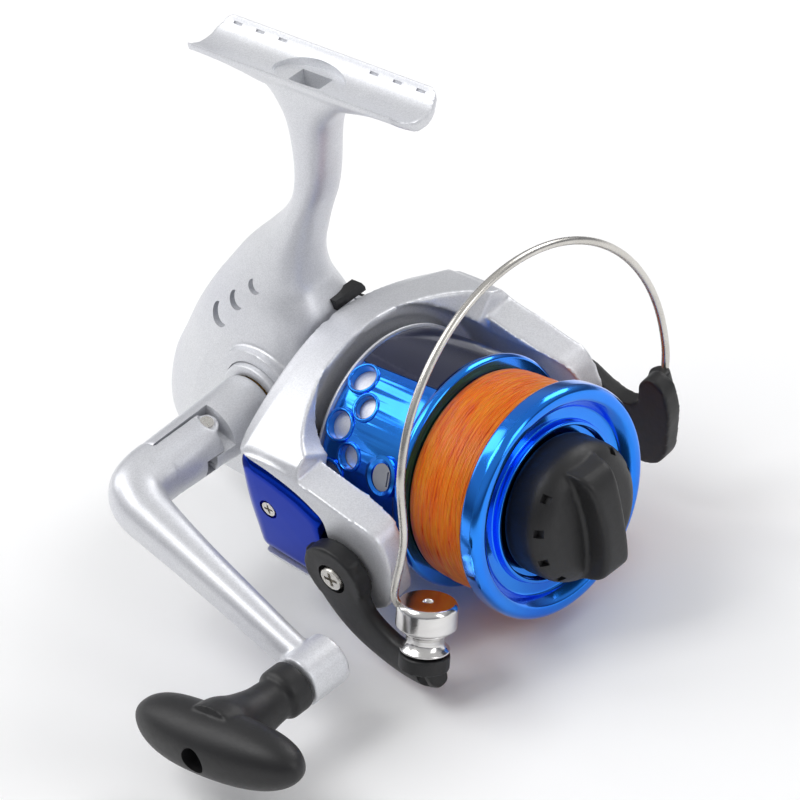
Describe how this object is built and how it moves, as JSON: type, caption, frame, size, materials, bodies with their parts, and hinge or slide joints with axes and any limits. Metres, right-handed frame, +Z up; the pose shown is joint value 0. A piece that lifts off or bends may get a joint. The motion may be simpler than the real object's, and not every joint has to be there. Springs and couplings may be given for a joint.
{
  "type": "spinning reel",
  "caption": "Open-face spinning fishing reel: foot and stem over a gear case, folding crank handle, spinning rotor with bail wire and line roller, line spool with front drag knob",
  "frame": {"origin": "on the centre line of the rod seat, over the middle of the reel foot", "axes": "+X forward along the spool and the rod, +Y to the left, +Z up out of the foot's saddle"},
  "size_m": [0.1315, 0.1332, 0.1164],
  "materials": {
    "silver_paint": "metallic silver paint, satin",
    "blue_gloss": "vacuum plated blue plastic",
    "blue_metal": "bright blue anodised and polished",
    "dark_band": "dark printed band",
    "black_plastic": "moulded, fine texture",
    "steel": "bright stainless",
    "polished_steel": "polished",
    "brass": "machined",
    "zinc": "die cast",
    "white_nylon": "moulded nylon",
    "grey_plastic": "moulded",
    "orange_line": "monofilament nylon",
    "felt": "greased fibre washers"
  },
  "bodies": {
    "body": {"body_housing": "silver_paint", "side_cover": "silver_paint", "side_cover_screws": "steel", "pinion_bearing": "steel", "bearing_retainer": "steel", "retainer_screws": "steel", "gear_bush_right": "brass", "gear_bush_left": "brass", "slider_guide": "steel", "trip_ramp": "black_plastic"},
    "anti_reverse_lever": {"anti_reverse_lever": "black_plastic"},
    "anti_reverse_pawl": {"anti_reverse_pawl": "steel"},
    "handle": {"drive_gear": "zinc", "handle_cap": "black_plastic", "handle_shaft": "silver_paint", "handle_fold_pin": "steel"},
    "arm": {"handle_arm": "silver_paint", "knob_spindle": "steel"},
    "knob": {"handle_knob": "black_plastic", "knob_screw": "steel"},
    "oscillation_gear": {"oscillation_gear": "white_nylon"},
    "spindle": {"main_shaft": "steel", "oscillation_slider": "white_nylon", "slider_screw": "steel", "spool_click_gear": "white_nylon", "drag_spring": "steel"},
    "rotor": {"pinion_gear": "brass", "ratchet_wheel": "steel", "rotor": "silver_paint", "rotor_nut": "steel", "trip_lever": "black_plastic", "near_arm_cover": "blue_gloss", "far_arm_cover": "blue_gloss", "cover_screws": "steel", "bail_spring": "steel", "bail_pivot_screws": "steel"},
    "bail": {"bail_arm": "black_plastic", "bail_holder": "black_plastic", "bail_wire": "steel", "roller_cap": "polished_steel", "roller_bush": "white_nylon"},
    "line_roller": {"line_roller": "polished_steel"},
    "spool": {"spool": "blue_metal", "line": "orange_line", "spool_band": "dark_band", "line_clip": "grey_plastic", "drag_washers": "felt", "drag_retainer": "steel"},
    "drag_knob": {"drag_knob": "black_plastic"}
  },
  "joints": [
    {"name": "handle_spin", "type": "hinge", "parent": "body", "child": "handle", "pos_m": [-0.02, 0, -0.08549], "axis": [0, 1, 0], "continuous": true},
    {"name": "handle_fold", "type": "hinge", "parent": "handle", "child": "arm", "pos_m": [-0.01944, -0.0302, -0.08571], "axis": [0.3584, 0, 0.9336], "range_deg": [0, 10]},
    {"name": "knob_spin", "type": "hinge", "parent": "arm", "child": "knob", "pos_m": [0.03321, -0.07, -0.10592], "axis": [0, 1, 0], "continuous": true},
    {"name": "rotor_spin", "type": "hinge", "parent": "body", "child": "rotor", "pos_m": [0, 0, -0.09349], "axis": [1, 0, 0], "continuous": true},
    {"name": "oscillation_spin", "type": "hinge", "parent": "body", "child": "oscillation_gear", "pos_m": [-0.0335, 0.007, -0.08849], "axis": [0, 1, 0], "continuous": true},
    {"name": "spindle_slide", "type": "slide", "parent": "body", "child": "spindle", "axis": [1, 0, 0], "range_m": [0, 0.01]},
    {"name": "spool_drag", "type": "hinge", "parent": "spindle", "child": "spool", "pos_m": [0.04, 0, -0.09349], "axis": [1, 0, 0], "continuous": true},
    {"name": "drag_knob_turn", "type": "hinge", "parent": "spindle", "child": "drag_knob", "pos_m": [0.055, 0, -0.09349], "axis": [1, 0, 0], "range_deg": [-360, 360]},
    {"name": "bail_flip", "type": "hinge", "parent": "rotor", "child": "bail", "pos_m": [0.021, 0.00031, -0.09647], "axis": [0, 0.9945, 0.1045], "range_deg": [0, 115]},
    {"name": "line_roller_spin", "type": "hinge", "parent": "bail", "child": "line_roller", "pos_m": [0.0435, -0.03248, -0.10012], "axis": [0, 0.2924, 0.9563], "continuous": true},
    {"name": "anti_reverse_turn", "type": "hinge", "parent": "body", "child": "anti_reverse_lever", "pos_m": [-0.06, 0.007, -0.11009], "axis": [1, 0, 0], "range_deg": [0, 25]},
    {"name": "pawl_turn", "type": "hinge", "parent": "body", "child": "anti_reverse_pawl", "pos_m": [-0.001, 0.009, -0.10729], "axis": [1, 0, 0], "range_deg": [0, 8]}
  ],
  "couplings": [
    {"joint": "rotor_spin", "follows": "handle_spin", "ratio": 4.8889},
    {"joint": "oscillation_spin", "follows": "handle_spin", "ratio": -0.58333},
    {"joint": "pawl_turn", "follows": "anti_reverse_turn", "ratio": 0.3}
  ]
}
